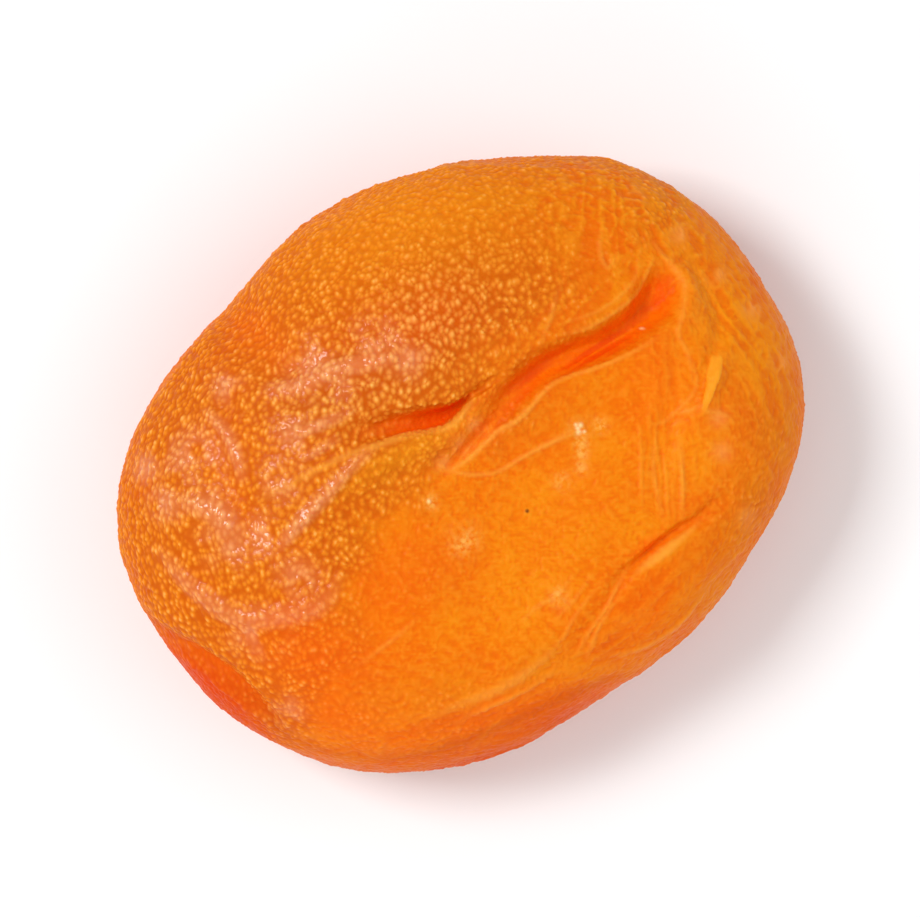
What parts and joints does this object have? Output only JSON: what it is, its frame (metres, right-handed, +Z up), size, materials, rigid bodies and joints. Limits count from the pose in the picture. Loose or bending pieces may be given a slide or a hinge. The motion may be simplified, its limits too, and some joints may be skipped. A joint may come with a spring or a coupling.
{
  "type": "dried apricot",
  "caption": "Whole pitted dried apricot: a flattened, waxy orange fruit with pebbled skin, a deep furrow along its top and a small flat spot to rest on.",
  "frame": {"origin": "under the middle of the fruit's box, on the surface that it rests on", "axes": "+X along the furrow and the fruit's length, +Y across it towards the plump lobe, +Z up through the furrowed face"},
  "size_m": [0.042, 0.0336, 0.017],
  "materials": {
    "skin": "waxy orange dried fruit skin, pebbled, semi-gloss"
  },
  "bodies": {
    "root": {"apricot": "skin"}
  },
  "joints": []
}
